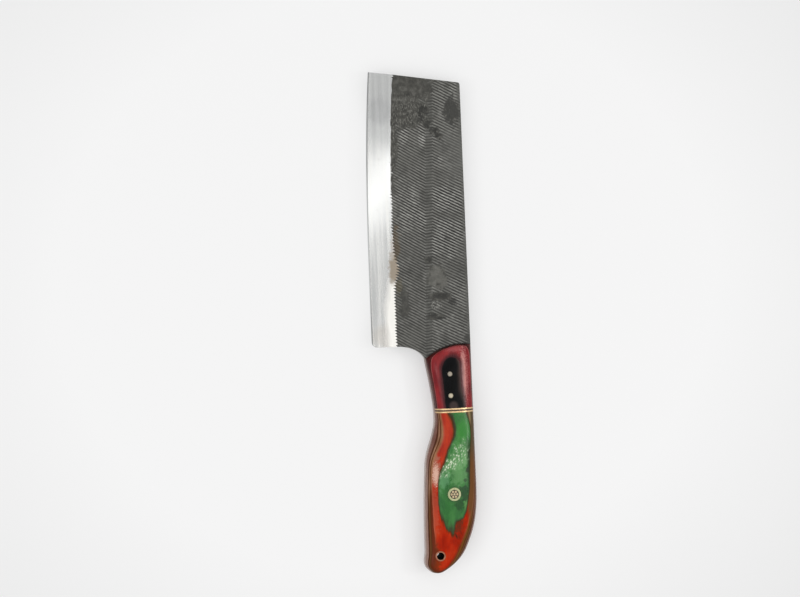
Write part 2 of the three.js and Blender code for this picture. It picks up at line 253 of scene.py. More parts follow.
def boolean(body, tool, operation):
    """Joins or cuts body with tool, and keeps the tool."""
    modifier = body.modifiers.new("boolean", "BOOLEAN")
    modifier.solver = "MANIFOLD"
    modifier.operation = operation
    modifier.object = tool
    graph = bpy.context.evaluated_depsgraph_get()
    made = bpy.data.meshes.new_from_object(body.evaluated_get(graph))
    made.materials.clear()
    old = body.data
    body.modifiers.clear()
    body.data = made
    bpy.data.meshes.remove(old)
    return body


def common(body, tool):
    """A new body of what two bodies share."""
    made = body.copy()
    made.data = body.data.copy()
    bpy.context.scene.collection.objects.link(made)
    return boolean(made, tool, "INTERSECT")


def cut(body, *tools):
    for tool in tools:
        boolean(body, tool, "DIFFERENCE")


def read(elements, field):
    values = np.empty(len(elements) * 3)
    elements.foreach_get(field, values)
    return values.reshape(-1, 3)


def set_attribute(mesh, name, values):
    mesh.attributes.new(name, "FLOAT", "POINT").data.foreach_set("value", np.ravel(values))


def set_finishes(mesh, indices):
    mesh.polygons.foreach_set("material_index", np.asarray(indices, np.int32))


def finish_piece(piece, name, slot, materials, *nodes, crease=40, flat_finish=None):
    """Sets a piece in the frame, smooths all but one finish, dresses it and lets it stand for its nodes."""
    piece.name = name
    mesh = piece.data
    mesh.name = name
    mesh.transform(TO_FRAME)
    mesh.set_sharp_from_angle(angle=math.radians(crease))
    mesh.polygons.foreach_set("use_smooth", [p.material_index != flat_finish for p in mesh.polygons])
    for material in materials:
        mesh.materials.append(material)
    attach(piece, "root")
    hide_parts(*nodes)
    return piece


# Curves and fields

def bezier(points, t):
    a, b, c, d = points
    s = 1 - t
    return a * s ** 3 + 3 * b * s * s * t + 3 * c * s * t * t + d * t ** 3


def smooth_step(x, low, high):
    t = np.clip((x - low) / (high - low), 0, 1)
    return t * t * (3 - 2 * t)


def mixed(a, b, share):
    return a + (b - a) * share


def clouds(x, y, size, seed):
    """Smooth noise from -1 to 1 at points X and Y, with features of about one size."""
    flat = zip(np.ravel(x / size), np.ravel(y / size))
    made = [noise.noise(Vector((a, b, seed))) for a, b in flat]
    return np.reshape(made, np.shape(x))


def side_at(stations, behind):
    """X of one side of the handle's outline, a fair curve through its stations."""
    behind = np.clip(np.asarray(behind, float), stations[0][0], stations[-1][0])
    made = np.zeros_like(behind)
    for (b0, out0, slope0), (b1, out1, slope1) in zip(stations, stations[1:]):
        third = (b1 - b0) / 3
        controls = (-out0, -out0 - third * slope0, -out1 + third * slope1, -out1)
        here = (behind >= b0) & (behind <= b1)
        made[here] = bezier(controls, (behind[here] - b0) / (b1 - b0))
    return made


def edge_x(y):
    """X of the cutting edge, whose Y is nearly even along its curve."""
    t = np.linspace(0, 1, 200)
    along = bezier((HEEL_RADIUS, BELLY_START, BELLY_END, BLADE_LENGTH), t)
    out = bezier((-BLADE_WIDTH, -BLADE_WIDTH, -BLADE_WIDTH, TIP_SWEEP - BLADE_WIDTH), t)
    return np.interp(y, along, out)


def ground_height(inward, y, seed, dip_place):
    """Half the blade's thickness on the ground bevel, at a distance in from the edge."""
    micro = (MICRO_BEVEL_THICKNESS - EDGE_THICKNESS) / 2 / MICRO_BEVEL_WIDTH
    main = (BLADE_FACE - MICRO_BEVEL_THICKNESS / 2) / (BEVEL_WIDTH - MICRO_BEVEL_WIDTH)
    low = EDGE_THICKNESS / 2 + np.clip(inward, 0, MICRO_BEVEL_WIDTH) * micro
    straight = low + np.clip(inward - MICRO_BEVEL_WIDTH, 0, None) * main
    wander = BEVEL_WANDER * clouds(0 * inward, y + 0 * inward, 14, seed)
    wander = wander * np.clip(inward / BEVEL_WIDTH, 0, 1)
    along = np.exp(-(((y - dip_place) / DIP_REACH) ** 2))
    return straight + wander - DIP_DEPTH * along * smooth_step(inward, *DIP_FROM_EDGE)


def quadratic(a, b, c, steps=24):
    t = np.linspace(0, 1, steps)[:, None]
    a, b, c = (np.array(p, float) for p in (a, b, c))
    return (a * (1 - t) ** 2 + 2 * b * t * (1 - t) + c * t * t).tolist()


def front_curve():
    """The line where the handle meets the blade, from the finger side to the spine."""
    middle = (-FRONT_WIDTH / 2, 2 * FRONT_BOW - FRONT_RAKE / 2)
    return quadratic((-FRONT_WIDTH, -FRONT_RAKE), middle, (0, 0))


def front_line(x):
    """Y of the line where the handle meets the blade."""
    return np.interp(x, *np.transpose(front_curve()))


def blade_outline():
    """The blade's outline, turning left from the spine's front."""
    corner = np.array((0, BACK_TOP))
    point = np.array((TIP_SWEEP - BLADE_WIDTH, BLADE_LENGTH))
    along_tip = (point - corner) / np.linalg.norm(point - corner) * SPINE_CORNER_RADIUS
    outline = [(0, 0)]
    outline += quadratic((0, BACK_TOP - SPINE_CORNER_RADIUS), corner, corner + along_tip)
    y = np.linspace(BLADE_LENGTH, HEEL_RADIUS, 80)
    outline += np.stack([edge_x(y), y], -1).tolist()
    outline += quadratic((-BLADE_WIDTH, HEEL_RADIUS), (-BLADE_WIDTH, 0), (HEEL_RADIUS - BLADE_WIDTH, 0))[1:]
    front = front_curve()
    choil = (-FRONT_WIDTH - CHOIL_CURL, -CHOIL_DROP)
    outline += quadratic((HEEL_LENGTH - BLADE_WIDTH, 0), choil, front[0])
    return outline + front[1:-1]


def tang_outline():
    behind = np.linspace(0, BUTT_PLACE, 160)
    back = np.stack([side_at(BACK_SIDE, behind), -behind], -1).tolist()
    half = (BUTT_HOOK_WIDTH - BUTT_BACK_DROP) / 2
    butt_middle = (-BUTT_BACK_DROP - half * (1 + BUTT_LEAN), -BUTT_PLACE - 2 * BUTT_BOW)
    butt = quadratic((-BUTT_BACK_DROP, -BUTT_PLACE), butt_middle, (-BUTT_HOOK_WIDTH, -BUTT_PLACE))
    behind = np.linspace(BUTT_PLACE, FRONT_RAKE, 160)
    finger = np.stack([side_at(FINGER_SIDE, behind), -behind], -1).tolist()
    front = [(TANG_SHOULDER - FRONT_WIDTH, TANG_SHOULDER), (0, TANG_SHOULDER)]
    turning_right = back + butt[1:-1] + finger + front
    return turning_right[::-1]


# Blade faces: where the bevel dips, where the teeth stay crisp, and where the hammer flattened them
LEFT_FACE = {
    "seed": 21,
    "dip": 47,
    "crisp": (-14, 80),
    "patches": (
        (-31, 157.5, 16, 9), (-33, 143, 11.5, 12), (-23.7, 143.5, 4, 3.6), (-21.6, 135.5, 2.1, 4),
        (-17, 129.9, 3.6, 2), (-14, 126.7, 2.2, 2.6), (-6, 142, 4.6, 7.2), (-43.5, 134, 3.6, 36),
        (-18.8, 41.4, 5.6, 8), (-17.5, 29.2, 8, 2.9), (-23.8, 51.9, 2.5, 2.5), (-20.4, 17.2, 5.5, 1.6),
        (-39.5, 26.5, 2.9, 10),
    ),
}
RIGHT_FACE = {
    "seed": 57,
    "dip": 96,
    "crisp": (-24, 70),
    "patches": (
        (-24, 148, 10, 9), (-38, 120, 4, 7), (-10, 96, 5, 6), (-33, 72, 4.5, 5),
        (-15, 44, 6, 5), (-38, 30, 3, 8), (-8, 20, 4, 4), (-22, 120, 3, 4),
    ),
}


def forged_smooth(x, y, face):
    """How far the hammer flattened the teeth, from 0 to 1."""
    seed = face["seed"]
    ragged = 0.4 * clouds(x, y, 6, seed + 7) + 0.3 * clouds(x, y, 2, seed + 16)
    ragged = ragged + 0.15 * clouds(x, y, 0.8, seed + 9)
    made = np.zeros_like(x)
    for px, py, rx, ry in face["patches"]:
        away = np.hypot((x - px) / rx, (y - py) / ry) + ragged
        made = np.maximum(made, 1 - smooth_step(away, 0.75, 1.1))
    return made


def tooth_rows():
    """Places of the grid's rows along the blade, and how deep each lies, from 0 on the land to 1."""
    land = TOOTH_LAND / math.cos(math.atan(EDGE_COLUMN_FALL))
    groove = TOOTH_PITCH - land
    valley = land + groove * TOOTH_LEAN
    rest = TOOTH_PITCH - valley
    shape = ((0, 0), (land, 0), (valley, 1), (valley + rest * 0.4, 0.6), (valley + rest * 0.75, 0.25))
    first = -30
    count = math.ceil((BLADE_LENGTH + 50) / TOOTH_PITCH)
    places = [(first + i * TOOTH_PITCH + step, depth) for i in range(count) for step, depth in shape]
    return np.array(places)


def toothed_face(face):
    """A face of the blade as a grid whose rows follow the cuts, so that crests and valleys are edges."""
    seed = face["seed"]
    rows = tooth_rows()
    s = rows[:, :1]
    deep = rows[:, 1:]
    centre = -np.interp(s, (0, BACK_TOP), (BAND_AT_HEEL, BAND_AT_TIP))
    band_left = centre - BAND_WIDTH / 2
    band_right = centre + BAND_WIDTH / 2
    left = mixed(-BLADE_WIDTH - BEYOND, band_left, np.linspace(0, 1, 56)[None, :-1])
    band = mixed(band_left, band_right, np.linspace(0, 1, 9)[None, :-1])
    right = mixed(band_right, -SPINE_STRIP_WIDTH, np.linspace(0, 1, 30)[None, :-1])
    strip = mixed(-SPINE_STRIP_WIDTH, BEYOND, np.linspace(0, 1, 7)[None, :]) + 0 * s
    x = np.concatenate([left, band, right, strip], 1)
    y_band = s + BAND_RISE * (np.clip(x, band_left, band_right) - band_left)
    y = y_band + EDGE_COLUMN_FALL * np.clip(band_left - x, 0, None)
    y = y - SPINE_COLUMN_FALL * np.clip(x - band_right, 0, None)
    y = y + 0.2 * clouds(x, y, 9, seed) + 0.14 * clouds(x, y, 2.6, seed + 1)
    in_band = (x > band_left + 0.1) & (x < band_right - 0.1)
    in_strip = x > -SPINE_STRIP_WIDTH + 0.1
    y = y + np.where(in_band, 0.4 * clouds(x, y, 3.5, seed + 19), 0)
    crisp_x, crisp_y = face["crisp"]
    crisp = np.exp(-(((x - crisp_x) / CRISP_REACH[0]) ** 2) - ((y - crisp_y) / CRISP_REACH[1]) ** 2)
    strength = np.where(in_band, BAND_STRENGTH, 0.72 + 0.28 * crisp)
    strength = strength * np.where(in_strip, STRIP_STRENGTH, 1.0)
    strength = strength * (0.88 + 0.35 * clouds(x, y, 2.3, seed + 3) + 0.3 * clouds(x, y, 8, seed + 5))
    sunk = np.where(in_band, BAND_SUNK, 0) + np.where(in_strip, STRIP_SUNK, 0)
    smooth = forged_smooth(x, y, face)
    dimple = 0.05 * clouds(x, y, 3.2, seed + 11)
    depth = TOOTH_DEPTH * np.clip(sunk + deep * strength, 0, 1.15) * (1 - smooth)
    depth = depth + smooth * (0.09 + dimple) + 0.012 * (1 + clouds(x, y, 0.9, seed + 13))
    return np.stack([x, y, BLADE_FACE - depth], -1)


def flipped(grid):
    return grid * np.array((1, 1, -1))


def tool_on(side, top, bottom):
    """A solid between two grids above the middle plane, or its mirror image on the right side."""
    if side == "left":
        return solid_between("tool", top, bottom)
    return solid_between("tool", flipped(bottom), flipped(top))


def bevel_tool(side, face):
    """What the wheel took off one face."""
    y = np.linspace(-BEYOND, BLADE_LENGTH + BEYOND, 180)[:, None]
    across = np.linspace(2, WHEEL_REACH, 26)
    inward = np.concatenate([(-BEYOND, 0, MICRO_BEVEL_WIDTH), across])[None, :] + 0 * y
    x = edge_x(y) + inward
    low = np.stack([x, y + 0 * x, ground_height(inward, y, face["seed"], face["dip"])], -1)
    high = np.stack([x, y + 0 * x, 0 * x + BLADE_FACE + BEYOND], -1)
    return tool_on(side, high, low)


def holes():
    fittings = [
        (MOSAIC_DIAMETER, MOSAIC_LINE, MOSAIC_PLACE),
        (LANYARD_DIAMETER, LANYARD_LINE, LANYARD_PLACE),
        *((FRONT_PIN_DIAMETER, PIN_LINE, place) for place in FRONT_PIN_PLACES),
    ]
    return [rod(diameter + 2 * GLUE_LINE, -line, -place) for diameter, line, place in fittings]


# The blade's finishes, in the order of its materials
FILE, BEVEL, UPRIGHT, HONED, TANG = range(5)


def paint_blade(mesh):
    """Gives each face its finish, and each point what the finishes go by."""
    x, y, z = read(mesh.polygons, "center").T
    normal_x, normal_y, upright = np.abs(read(mesh.polygons, "normal").T)
    inward = x - edge_x(y)
    heights = [ground_height(inward, y, face["seed"], face["dip"]) for face in (LEFT_FACE, RIGHT_FACE)]
    ground = np.where(z > 0, *heights)
    on_bevel = (np.abs(np.abs(z) - ground) < 0.015) & (normal_x > 0.03) & (normal_y < 0.1)
    finish = np.where(on_bevel & (inward < WHEEL_REACH) & (y > -1), BEVEL, FILE)
    honed = (finish == BEVEL) & (inward < MICRO_BEVEL_WIDTH)
    finish = np.where(honed, HONED, finish)
    finish = np.where(y < front_line(x) - SEAT_GAP, TANG, finish)
    at_front = (np.abs(y - front_line(x)) < SEAT_GAP) & (x < -SEAT_GAP)
    finish = np.where((upright < 0.4) & ~at_front, UPRIGHT, finish)
    set_finishes(mesh, finish)
    x, y, z = read(mesh.vertices, "co").T
    middle = (side_at(FINGER_SIDE, -y) + side_at(BACK_SIDE, -y)) / 2
    set_attribute(mesh, "back", np.where(x > middle, 1.0, 0.0))
    set_attribute(mesh, "from_front", np.clip(front_line(x) - y, 0, None))
    set_attribute(mesh, "tooth_depth", np.clip((BLADE_FACE - np.abs(z)) / TOOTH_DEPTH, 0, 1))
    forged = [forged_smooth(x, y, face) for face in (LEFT_FACE, RIGHT_FACE)]
    set_attribute(mesh, "forged", np.where(z > 0, *forged))


def make_blade(bores, materials):
    blade = solid_between("blade", toothed_face(LEFT_FACE), flipped(toothed_face(RIGHT_FACE)))
    outline = prism("outline", blade_outline(), -BEYOND, BEYOND)
    tang = prism("tang", tang_outline(), -TANG_FACE, TANG_FACE)
    left_bevel = bevel_tool("left", LEFT_FACE)
    right_bevel = bevel_tool("right", RIGHT_FACE)
    boolean(blade, outline, "INTERSECT")
    cut(blade, left_bevel, right_bevel)
    boolean(blade, tang, "UNION")
    cut(blade, *bores)
    discard(outline, tang, left_bevel, right_bevel)
    paint_blade(blade.data)
    looks = {"crease": 22, "flat_finish": HONED}
    finish_piece(blade, "forged_blade", "file_steel", materials, "blade_with_tang", **looks)


# Handle: the whole shaped body, both sides, before it is parted
def quarter_round(distance, length):
    """A share that rises from 0 to 1 over a length, as a quarter circle does."""
    share = np.clip(1 - distance / length, 0, 1)
    return np.sqrt(1 - share * share)


def grip(behind):
    return np.exp(-(((behind - GRIP_PLACE) / GRIP_SPAN) ** 2))


def crown_at(behind):
    level = mixed(NECK_CROWN, PALM_CROWN, smooth_step(behind, NECK_PLACE, PALM_PLACE))
    full = mixed(level, BUTT_CROWN, smooth_step(behind, CROWN_FALL_PLACE, HANDLE_LENGTH))
    full = mixed(END_WALL, full, quarter_round(BUTT_PLACE - behind, END_ROUND))
    return mixed(FRONT_WALL, full, quarter_round(behind, FRONT_ROUND))


def handle_surface(along_steps=300, across_steps=90):
    """Points of the left side, rows from the butt to the front and columns from finger side to back."""
    share = (1 - np.cos(np.pi * np.linspace(1, 0, along_steps))) / 2
    share = share[:, None]
    part = (1 - np.cos(np.pi * np.linspace(0, 1, across_steps))) / 2
    part = part[None, :]
    end = BUTT_PLACE - TANG_REVEAL
    finger_behind = mixed(FRONT_RAKE + SEAT_GAP, end, share)
    back_behind = mixed(SEAT_GAP, end, share)
    behind = share * end
    finger = side_at(FINGER_SIDE, finger_behind) + TANG_REVEAL
    back = side_at(BACK_SIDE, back_behind) - TANG_REVEAL
    bow = FRONT_BOW * np.clip(1 - behind / BOW_REACH, 0, None) ** 2
    bulge = BUTT_BOW * np.clip(1 - (end - behind) / BOW_REACH, 0, None) ** 2
    ridge_line = -mixed(PALM_RIDGE, NECK_RIDGE, grip(behind))
    ridge = mixed(ridge_line, (finger + back) / 2, smooth_step(behind, CROWN_FALL_PLACE, BUTT_PLACE))
    x = mixed(finger, back, part)
    bulge = bulge * (1 + BUTT_LEAN * (1 - 2 * part))
    y = -mixed(finger_behind, back_behind, part) + (bow - bulge) * 4 * part * (1 - part)
    on_finger = x < ridge
    to_butt = smooth_step(behind, CROWN_FALL_PLACE, BUTT_PLACE - BUTT_ROUNDNESS_FROM_BUTT)
    finger_power = mixed(FINGER_ROUNDNESS, GRIP_ROUNDNESS, grip(behind))
    power = np.where(on_finger, finger_power, mixed(BACK_ROUNDNESS, BUTT_BACK_ROUNDNESS, to_butt))
    away = np.clip((x - ridge) / (np.where(on_finger, finger, back) - ridge), 0, 1)
    rise = (crown_at(behind) - SIDE_WALL) * (1 - away ** power) ** (1 / power)
    from_front = share * (end - mixed(FRONT_RAKE, 0, part))
    height = SIDE_WALL + rise * quarter_round(from_front, FRONT_ROLL)
    return np.stack([x, y, TANG_FACE + height], -1)


# Where a sheet's border swells up or dips, as places, reaches and lifts
BORDER_SWELLS = {
    BLACK_LEVEL: ((-14.5, -9, 4, 4, -0.3), (-8, -36, 3.5, 7, -0.4)),
    GREEN_LEVEL: (
        (-15, -45, 3.5, 9, 0.32), (-4.5, -47, 3, 13, -0.55), (-20.5, -71, 5, 9, 0.72),
        (-7.5, -88, 3.5, 15, -0.42), (-11, -101, 4, 5, -0.4), (-23.4, -96, 4, 11, -0.4),
        (-13, -109, 2.6, 3.5, 0.3),
    ),
}


def border(x, y, level, seed):
    """Height of a sheet's border above the tang's face: it wanders slowly, and in steps near the butt."""
    slow = 0.05 * clouds(x * 3, y, 9, seed) + 0.05 * clouds(x * 2, y, 3.2, seed + 4)
    near_butt = smooth_step(-y, 78, 105)
    steps = near_butt * (0.16 * clouds(x * 4, y, 7, seed + 8) + 0.1 * clouds(x * 5, y, 4, seed + 2))
    made = level + slow + steps
    for px, py, rx, ry, lift in BORDER_SWELLS.get(level, ()):
        made = made + lift * np.exp(-(((x - px) / rx) ** 2) - ((y - py) / ry) ** 2)
    return made if level else 0 * x


def sheet_tool(side, low, high, y_low, y_high, seeds):
    """The space of one sheet of veneer: between two gently wandering borders above the tang's face."""
    y, x = np.meshgrid(np.linspace(y_low, y_high, 120), np.linspace(*SHEET_ACROSS, 90), indexing="ij")
    top = np.stack([x, y, TANG_FACE + border(x, y, high, seeds[1])], -1)
    bottom = np.stack([x, y, TANG_FACE + border(x, y, low, seeds[0])], -1)
    return tool_on(side, top, bottom)


def side_part(handle, side, y_low, y_high):
    """The part of one side of the handle, above the tang's face, between two places along it."""
    sign = 1 if side == "left" else -1
    low, high = sorted((sign * TANG_FACE, sign * ROOM_HEIGHT))
    left, right = ROOM_ACROSS
    room = prism("room", [(left, y_low), (right, y_low), (right, y_high), (left, y_high)], low, high)
    part = common(handle, room)
    discard(room)
    return part


def make_veneers(handle, bores, side, block, y_low, y_high, sheets):
    """The sheets of one block, each dressed in the wood of its name."""
    whole = side_part(handle, side, y_low, y_high)
    cut(whole, *bores)
    low = 0
    seed = 100 + 40 * (side == "right") + 20 * (block == "rear")
    for i, (name, high) in enumerate(sheets):
        tool = sheet_tool(side, low, high, y_low - BEYOND, y_high + BEYOND, (seed + i - 1, seed + i))
        sheet = common(whole, tool)
        x, y, z = read(sheet.data.vertices, "co").T
        height = np.abs(z) - TANG_FACE
        set_attribute(sheet.data, "from_bottom", height - border(x, y, low, seed + i - 1))
        set_attribute(sheet.data, "to_top", border(x, y, high, seed + i) - height)
        set_attribute(sheet.data, "from_front", front_line(x) - y)
        node = f"{side}_{block}_{name}_veneer"
        wood = bpy.data.materials[f"{block}_{name}_wood"]
        finish_piece(sheet, f"{side}_{block}_{name}_wood", f"{name}_wood", [wood], node)
        discard(tool)
        low = high
    discard(whole)


def make_spacers(handle, side, metals):
    for name, start, end in SPACERS:
        strip = side_part(handle, side, -end, -start)
        slot = "fibre" if name == "fibre" else "brass"
        finish = metals["fibre" if name == "fibre" else "spacer"]
        finish_piece(strip, f"{side}_{name}_strip", slot, [finish], f"{side}_{name}_spacer")


def flush_pin(handle, tool, name, node, slot, *materials):
    """A pin sanded flush with the handle: the tool's shape, ended by the handle's surface."""
    pin = common(handle, tool)
    discard(tool)
    return finish_piece(pin, name, slot, materials, node)


def make_pins(handle, metals):
    for i, place in enumerate(FRONT_PIN_PLACES, 1):
        tool = rod(FRONT_PIN_DIAMETER, -PIN_LINE, -place)
        flush_pin(handle, tool, f"front_pin_{i}_brass", f"front_pin_{i}", "brass", metals["pin"])
    tool = rod(LANYARD_DIAMETER, -LANYARD_LINE, -LANYARD_PLACE)
    bore = rod(LANYARD_BORE, -LANYARD_LINE, -LANYARD_PLACE)
    tube = common(handle, tool)
    cut(tube, bore)
    discard(tool, bore)
    x, y, _ = read(tube.data.polygons, "center").T
    inside = np.hypot(x + LANYARD_LINE, y + LANYARD_PLACE) < LANYARD_BORE / 2 + 0.02
    set_finishes(tube.data, inside)
    finishes = (metals["dull"], metals["patina_and_shade"])
    finish_piece(tube, "lanyard_tube_brass", "brass", finishes, "lanyard_tube")


def make_mosaic_pin(handle, metals):
    y = -MOSAIC_PLACE
    tube = rod(MOSAIC_DIAMETER, -MOSAIC_LINE, y)
    filling = rod(MOSAIC_BORE - 2 * GLUE_LINE, -MOSAIC_LINE, y)
    bore = rod(MOSAIC_BORE, -MOSAIC_LINE, y)
    cut(tube, bore)
    discard(bore)
    ring = MOSAIC_ROD_DIAMETER + MOSAIC_GAP
    rods = [("centre_rod", "brass", -MOSAIC_LINE, y)]
    for i in range(MOSAIC_RODS):
        turn = 2 * math.pi * i / MOSAIC_RODS
        x = -MOSAIC_LINE + ring * math.cos(turn)
        rods.append((f"rod_{i + 1}", "copper", x, y + ring * math.sin(turn)))
    for name, slot, x, place in rods:
        bore = rod(MOSAIC_ROD_DIAMETER + GLUE_LINE, x, place, 32)
        cut(filling, bore)
        discard(bore)
        tool = rod(MOSAIC_ROD_DIAMETER, x, place, 32)
        node = f"mosaic_pin_{name}"
        flush_pin(handle, tool, f"{node}_metal", node, slot, metals[slot])
    flush_pin(handle, tube, "mosaic_pin_tube_brass", "mosaic_pin_tube", "brass", metals["ring"])
    flush_pin(handle, filling, "mosaic_pin_resin_fill", "mosaic_pin_resin", "resin", metals["resin"])


# Materials

# Where the forged scale is smooth, as places, radii and strengths, and where it is torn dark
SMOOTH_SPOTS = ((-5.6, 142, 5.6, 8.4, 0.85), (-39.5, 26.5, 3, 10, 0.5), (-1.4, 3, 2.4, 3.6, 0.8))
TORN_SPOTS = (
    (-23.1, 142.9, 3.6, 3), (-24.5, 138.6, 1.5, 2.4), (-21.4, 134.1, 2.2, 3), (-17.6, 130.6, 2.7, 1.9),
    (-14.9, 127.4, 2.1, 2.4), (-23.6, 52, 2, 2), (-17.5, 29.8, 6.4, 2), (-9.6, 25.8, 2.6, 2.2),
    (-22.5, 18.3, 2.8, 1.5), (-18.4, 16.4, 3.4, 1.2),
)
# Where the teeth wore bright, as places, radii and strengths
WORN_SPOTS = (
    (-34.5, 82, 14, 19, 0.7), (-11, 89, 13, 10, 0.8), (-12.5, 66, 13, 14, 0.85), (-36, 127, 2.8, 6.5, 0.7),
    (-25, 126, 2.8, 8.5, 0.8), (-4.6, 155.5, 4.8, 4.6, 0.6), (-14, 112.5, 2.4, 3, 0.9),
    (-5.4, 33, 7, 12, 0.5), (-11.8, 11, 14, 10, 0.45),
)


def linear(color):
    """A colour written as it is seen, from 0 to 255, as the one that nodes take. A node's output stays."""
    if isinstance(color, bpy.types.NodeSocket):
        return color
    shares = [value / 255 for value in color]
    return (*(s / 12.92 if s <= 0.04045 else ((s + 0.055) / 1.055) ** 2.4 for s in shares), 1)


class Nodes:
    """A node tree, with short calls for adding to it."""

    def __init__(self, tree):
        self.tree = tree

    def add(self, kind, inputs=None, **settings):
        node = self.tree.nodes.new("ShaderNode" + kind)
        for key, value in settings.items():
            setattr(node, key, value)
        for key, value in (inputs or {}).items():
            self.put(node.inputs[key], value)
        return node

    def put(self, socket, value):
        if isinstance(value, bpy.types.NodeSocket):
            self.tree.links.new(value, socket)
        else:
            socket.default_value = value

    def ramp(self, fac, *stops):
        node = self.add("ValToRGB", {"Fac": fac})
        band = node.color_ramp
        while len(band.elements) < len(stops):
            band.elements.new(0.5)
        for element, (place, color) in zip(band.elements, stops):
            element.position = place
            element.color = color
        return node.outputs["Color"]


class Shader(Nodes):
    """A node material, with short calls for what the finishes share."""

    def __init__(self, name):
        self.material = bpy.data.materials.new(name)
        self.material.use_nodes = True
        super().__init__(self.material.node_tree)
        self.surface = self.tree.nodes["Principled BSDF"]
        self.coordinates = self.add("TexCoord").outputs["Object"]

    def set(self, **values):
        for key, value in values.items():
            self.put(self.surface.inputs[key.replace("_", " ")], value)

    def cloud(self, scale, detail=3, stretch=(1, 1, 1), roughness=0.5):
        """Noise whose scale is in features per metre."""
        mapped = self.add("Mapping", {"Vector": self.coordinates, "Scale": stretch}).outputs["Vector"]
        inputs = {"Vector": mapped, "Scale": scale, "Detail": detail, "Roughness": roughness}
        return self.add("TexNoise", inputs).outputs["Fac"]

    def dabs(self, scale, stretch, tilt=0.0):
        """Separate dabs of uneven strength, whose scale is in dabs per metre, leaning by an angle."""
        sizes = tuple(1 / s for s in stretch)
        inputs = {"Vector": self.coordinates, "Rotation": (0, 0, tilt), "Scale": sizes}
        mapped = self.add("Mapping", inputs, vector_type="TEXTURE").outputs["Vector"]
        cells = self.add("TexVoronoi", {"Vector": mapped, "Scale": scale}).outputs
        near = self.level(cells["Distance"], 0.25, 0.58, 1, 0)
        return self.times(near, self.level(cells["Color"], 0.25, 0.6, 0, 1))

    def shades(self, fac, *colors, places=(0.3, 0.7)):
        """Colours that follow a value, each at its place in the value's range."""
        return self.ramp(fac, *((place, linear(color)) for place, color in zip(places, colors)))

    def level(self, fac, low, high, out_low, out_high):
        """Takes one range of a value, or of the attribute of a name, to another range."""
        if isinstance(fac, str):
            fac = self.attribute(fac)
        inputs = {"Value": fac, "From Min": low, "From Max": high, "To Min": out_low, "To Max": out_high}
        return self.add("MapRange", inputs).outputs["Result"]

    def spread(self, cloud, low, high):
        """The middle of a cloud's range, spread between two values."""
        return self.level(cloud, 0.3, 0.7, low, high)

    def mix(self, fac, a, b):
        node = self.add("Mix", data_type="RGBA")
        self.put(node.inputs["Factor"], fac)
        self.put(node.inputs[6], linear(a))
        self.put(node.inputs[7], linear(b))
        return node.outputs[2]

    def math(self, operation, a, b=0.0, c=0.0):
        node = self.add("Math", operation=operation)
        for socket, value in zip(node.inputs, (a, b, c)):
            self.put(socket, value)
        return node.outputs[0]

    def times(self, a, b):
        return self.math("MULTIPLY", a, b)

    def attribute(self, name):
        return self.add("Attribute", attribute_name=name).outputs["Fac"]

    def bump(self, height, strength, distance):
        inputs = {"Height": height, "Strength": strength, "Distance": distance * MM}
        self.set(Normal=self.add("Bump", inputs).outputs["Normal"])

    def paint(self, color, *masks):
        """Lays a colour over what is there, where all masks are 1. A mask may be what place() takes."""
        mask, *others = [self.place(*m) if isinstance(m, tuple) else m for m in masks]
        for other in others:
            mask = self.times(mask, other)
        self.color = self.mix(mask, self.color, color)
        self.set(Base_Color=self.color)

    def spot(self, x, y, radius_x, radius_y, strength=1.0, ragged=None):
        """A soft-edged spot at a place in the knife's own frame, from its strength to 0 outside it."""
        centre = TO_FRAME @ Vector((x, y, 0))
        scale = (1 / (radius_x * MM), 1 / (radius_y * MM), 0)
        offset = tuple(-c * s for c, s in zip(centre, scale))
        moved = self.add("Mapping", {"Vector": self.coordinates, "Scale": scale, "Location": offset})
        length = self.add("VectorMath", {0: moved.outputs["Vector"]}, operation="LENGTH").outputs["Value"]
        if ragged is not None:
            length = self.math("ADD", length, ragged)
        return self.level(length, 0.6, 1.1, strength, 0)

    # Soft spots of colour: real staining, and also painted highlights and painted reflections.
    def paint_spot(self, color, *spot):
        self.paint(color, self.spot(*spot))

    def paint_spots(self, *paint_spots):
        for paint_spot in paint_spots:
            self.paint_spot(*paint_spot)

    def dress(self, texture, rough, bumps, **values):
        """Sets how rough the surface is, and raises it, by one texture, and sets the values given."""
        self.set(Roughness=self.spread(texture, *rough), **values)
        self.bump(texture, *bumps)
        return self.material

    def place(self, axis, low, high, strength=1.0):
        """A share from 0 to a strength, between two places along an axis of the knife's own frame."""
        value = self.add("SeparateXYZ", {"Vector": self.coordinates}).outputs[axis]
        origin = TO_FRAME.translation["XYZ".index(axis)]
        return self.level(value, origin + low * MM, origin + high * MM, 0, strength)

    def seam(self, distance, width, color, strength=1.0, soft=0.08):
        """A line of colour along a border, as wide as given where the distance to the border is small:
        staining, dark joints and painted highlights.
        """
        ragged = self.math("MULTIPLY_ADD", self.cloud(700, 3, (1, 0.2, 1)), 0.3, self.attribute(distance))
        self.paint(color, self.level(ragged, width + 0.15 - soft, width + 0.15 + soft, strength, 0))


